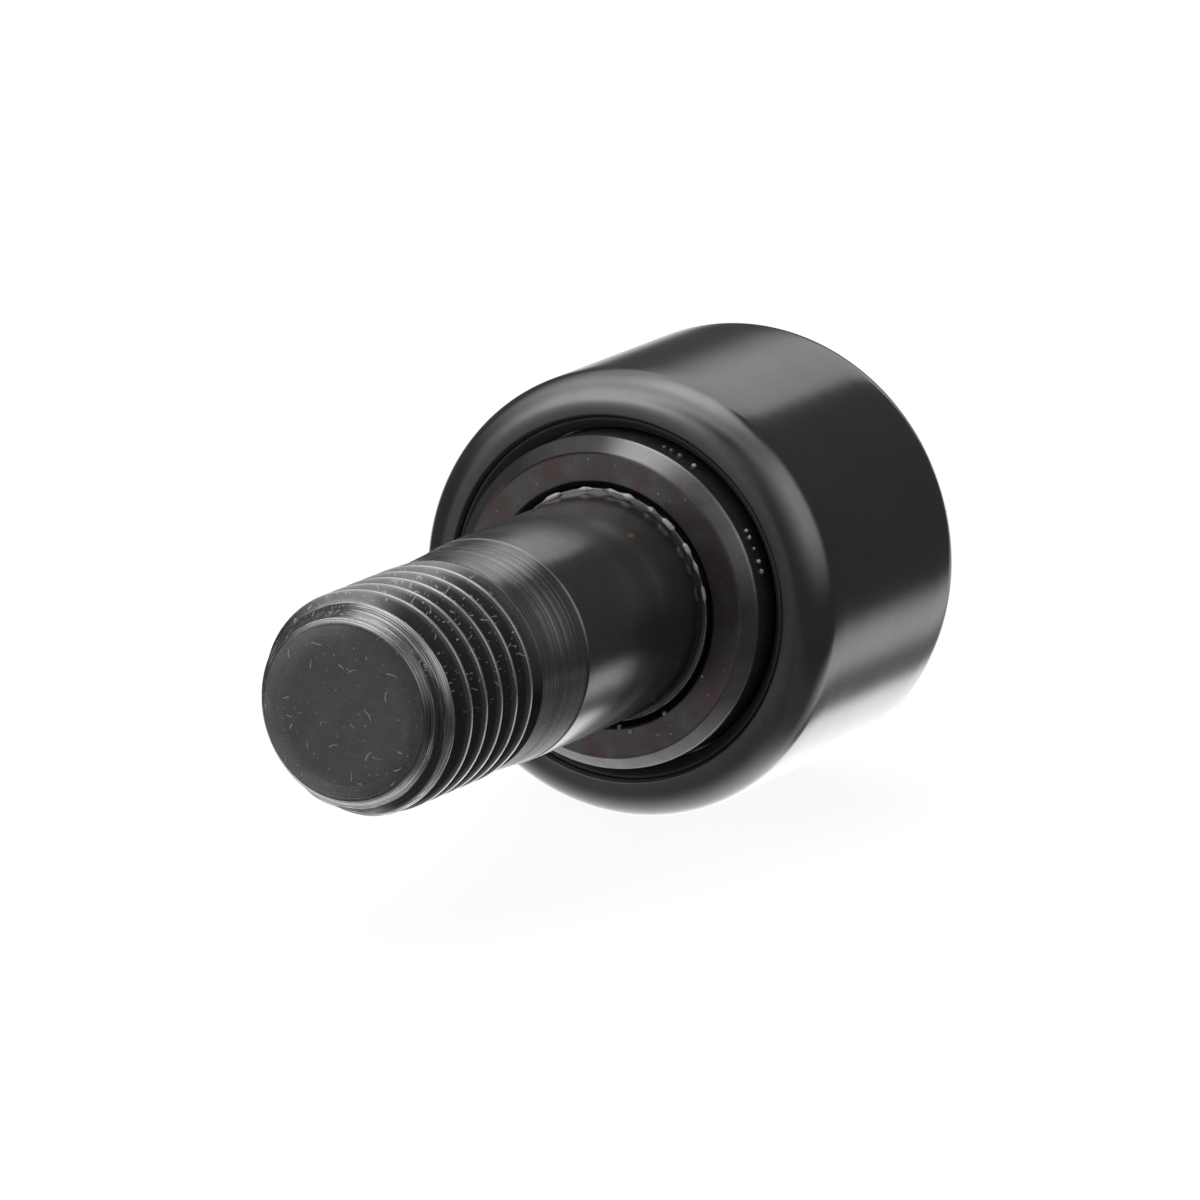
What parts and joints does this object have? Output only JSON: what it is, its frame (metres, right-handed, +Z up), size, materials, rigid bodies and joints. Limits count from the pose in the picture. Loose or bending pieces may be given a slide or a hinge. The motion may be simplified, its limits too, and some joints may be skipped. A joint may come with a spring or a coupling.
{
  "type": "stud type cam follower",
  "caption": "Stud-type cam follower: a sealed, needle-bearing roller that spins on the integral raceway of a headed steel stud with a plain shank and a threaded end.",
  "frame": {"origin": "on the stud's axis, at the flat outer face of the end plate, which is the shoulder that seats on the mounting face", "axes": "+Y along the stud's axis from the threaded tip towards the roller and the head; +Z up and +X to the right as seen from the threaded tip"},
  "size_m": [0.0158, 0.0319, 0.0158],
  "materials": {
    "stud_steel": "black oxide, satin, fine turning marks",
    "plate_steel": "black oxide, faint red-brown stain",
    "ring_steel": "black oxide, ground tread, semi-gloss",
    "seal_rubber": "moulded nitrile, matte",
    "washer_plastic": "natural acetal",
    "cage_plastic": "glass-filled nylon",
    "needle_steel": "ground and polished bearing steel"
  },
  "bodies": {
    "stud": {"stud": "stud_steel", "end_plate": "plate_steel", "thrust_washer_near": "washer_plastic", "thrust_washer_far": "washer_plastic"},
    "roller": {"outer_ring": "ring_steel", "seal_near": "seal_rubber", "seal_far": "seal_rubber"},
    "cage": {"needle_cage": "cage_plastic"},
    "needle_01": {"needle_roller_01": "needle_steel"},
    "needle_02": {"needle_roller_02": "needle_steel"},
    "needle_03": {"needle_roller_03": "needle_steel"},
    "needle_04": {"needle_roller_04": "needle_steel"},
    "needle_05": {"needle_roller_05": "needle_steel"},
    "needle_06": {"needle_roller_06": "needle_steel"},
    "needle_07": {"needle_roller_07": "needle_steel"},
    "needle_08": {"needle_roller_08": "needle_steel"},
    "needle_09": {"needle_roller_09": "needle_steel"},
    "needle_10": {"needle_roller_10": "needle_steel"},
    "needle_11": {"needle_roller_11": "needle_steel"},
    "needle_12": {"needle_roller_12": "needle_steel"},
    "needle_13": {"needle_roller_13": "needle_steel"},
    "needle_14": {"needle_roller_14": "needle_steel"}
  },
  "joints": [
    {"name": "ring_spin", "type": "hinge", "parent": "stud", "child": "roller", "pos_m": [0, 0.00676, 0], "axis": [0, 1, 0], "continuous": true},
    {"name": "cage_orbit", "type": "hinge", "parent": "stud", "child": "cage", "pos_m": [0, 0.00676, 0], "axis": [0, 1, 0], "continuous": true},
    {"name": "needle_01_spin", "type": "hinge", "parent": "cage", "child": "needle_01", "pos_m": [0, 0.00676, 0.00487], "axis": [0, 1, 0], "continuous": true},
    {"name": "needle_02_spin", "type": "hinge", "parent": "cage", "child": "needle_02", "pos_m": [0.00212, 0.00676, 0.00439], "axis": [0, 1, 0], "continuous": true},
    {"name": "needle_03_spin", "type": "hinge", "parent": "cage", "child": "needle_03", "pos_m": [0.00381, 0.00676, 0.00304], "axis": [0, 1, 0], "continuous": true},
    {"name": "needle_04_spin", "type": "hinge", "parent": "cage", "child": "needle_04", "pos_m": [0.00475, 0.00676, 0.00108], "axis": [0, 1, 0], "continuous": true},
    {"name": "needle_05_spin", "type": "hinge", "parent": "cage", "child": "needle_05", "pos_m": [0.00475, 0.00676, -0.00108], "axis": [0, 1, 0], "continuous": true},
    {"name": "needle_06_spin", "type": "hinge", "parent": "cage", "child": "needle_06", "pos_m": [0.00381, 0.00676, -0.00304], "axis": [0, 1, 0], "continuous": true},
    {"name": "needle_07_spin", "type": "hinge", "parent": "cage", "child": "needle_07", "pos_m": [0.00212, 0.00676, -0.00439], "axis": [0, 1, 0], "continuous": true},
    {"name": "needle_08_spin", "type": "hinge", "parent": "cage", "child": "needle_08", "pos_m": [0, 0.00676, -0.00487], "axis": [0, 1, 0], "continuous": true},
    {"name": "needle_09_spin", "type": "hinge", "parent": "cage", "child": "needle_09", "pos_m": [-0.00212, 0.00676, -0.00439], "axis": [0, 1, 0], "continuous": true},
    {"name": "needle_10_spin", "type": "hinge", "parent": "cage", "child": "needle_10", "pos_m": [-0.00381, 0.00676, -0.00304], "axis": [0, 1, 0], "continuous": true},
    {"name": "needle_11_spin", "type": "hinge", "parent": "cage", "child": "needle_11", "pos_m": [-0.00475, 0.00676, -0.00108], "axis": [0, 1, 0], "continuous": true},
    {"name": "needle_12_spin", "type": "hinge", "parent": "cage", "child": "needle_12", "pos_m": [-0.00475, 0.00676, 0.00108], "axis": [0, 1, 0], "continuous": true},
    {"name": "needle_13_spin", "type": "hinge", "parent": "cage", "child": "needle_13", "pos_m": [-0.00381, 0.00676, 0.00304], "axis": [0, 1, 0], "continuous": true},
    {"name": "needle_14_spin", "type": "hinge", "parent": "cage", "child": "needle_14", "pos_m": [-0.00212, 0.00676, 0.00439], "axis": [0, 1, 0], "continuous": true}
  ],
  "couplings": [
    {"joint": "cage_orbit", "follows": "ring_spin", "ratio": 0.56923},
    {"joint": "needle_01_spin", "follows": "ring_spin", "ratio": 3.5419},
    {"joint": "needle_02_spin", "follows": "ring_spin", "ratio": 3.5419},
    {"joint": "needle_03_spin", "follows": "ring_spin", "ratio": 3.5419},
    {"joint": "needle_04_spin", "follows": "ring_spin", "ratio": 3.5419},
    {"joint": "needle_05_spin", "follows": "ring_spin", "ratio": 3.5419},
    {"joint": "needle_06_spin", "follows": "ring_spin", "ratio": 3.5419},
    {"joint": "needle_07_spin", "follows": "ring_spin", "ratio": 3.5419},
    {"joint": "needle_08_spin", "follows": "ring_spin", "ratio": 3.5419},
    {"joint": "needle_09_spin", "follows": "ring_spin", "ratio": 3.5419},
    {"joint": "needle_10_spin", "follows": "ring_spin", "ratio": 3.5419},
    {"joint": "needle_11_spin", "follows": "ring_spin", "ratio": 3.5419},
    {"joint": "needle_12_spin", "follows": "ring_spin", "ratio": 3.5419},
    {"joint": "needle_13_spin", "follows": "ring_spin", "ratio": 3.5419},
    {"joint": "needle_14_spin", "follows": "ring_spin", "ratio": 3.5419}
  ]
}
